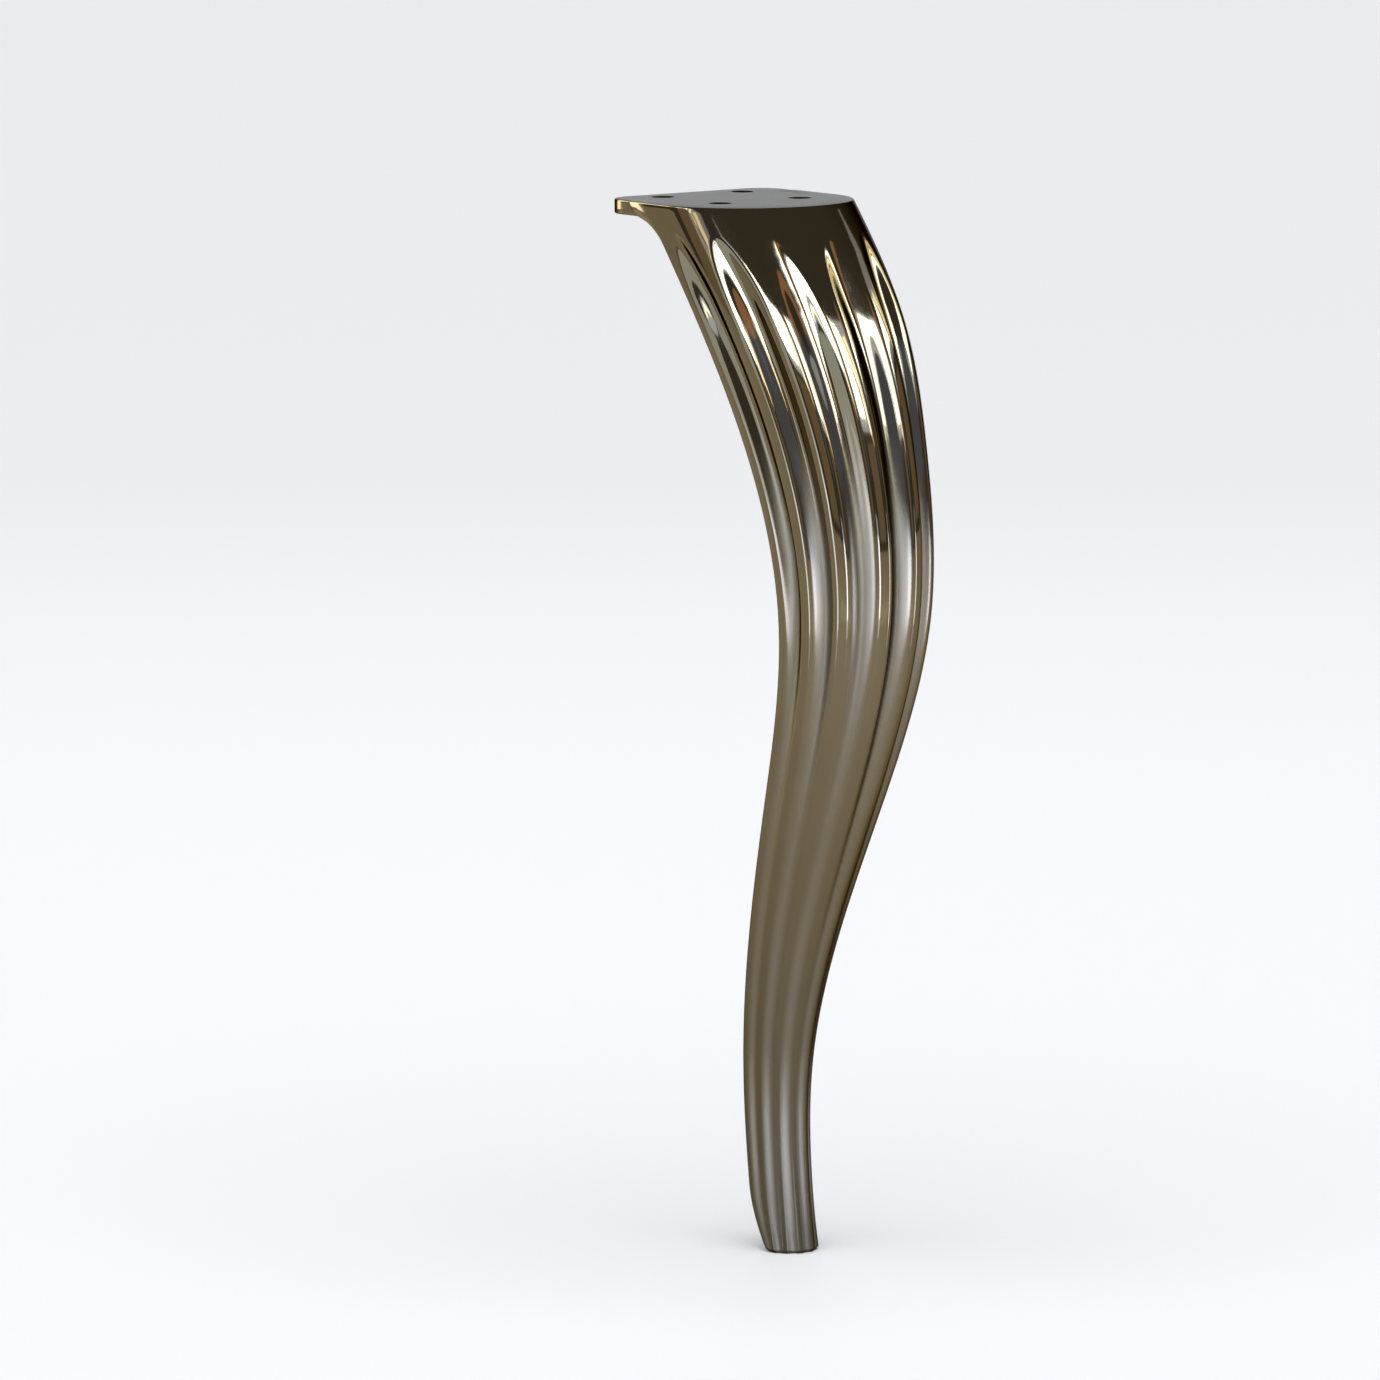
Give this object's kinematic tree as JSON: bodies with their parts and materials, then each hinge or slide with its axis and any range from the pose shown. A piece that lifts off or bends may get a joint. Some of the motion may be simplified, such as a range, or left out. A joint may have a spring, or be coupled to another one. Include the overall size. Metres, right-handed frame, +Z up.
{
  "type": "metal sofa leg",
  "caption": "Cast metal furniture leg with a fluted S-curve and an open back, hung from its own screw plate and tapering to a slim foot.",
  "frame": {"origin": "middle of the mounting plate's top face", "axes": "+Z up, out of the mounting plate; the leg steps forward along -Y and is symmetric about X = 0"},
  "size_m": [0.0506, 0.0825, 0.25],
  "materials": {
    "leg": "mirror-bright smoked plating"
  },
  "bodies": {
    "root": {"leg": "leg"}
  },
  "joints": []
}
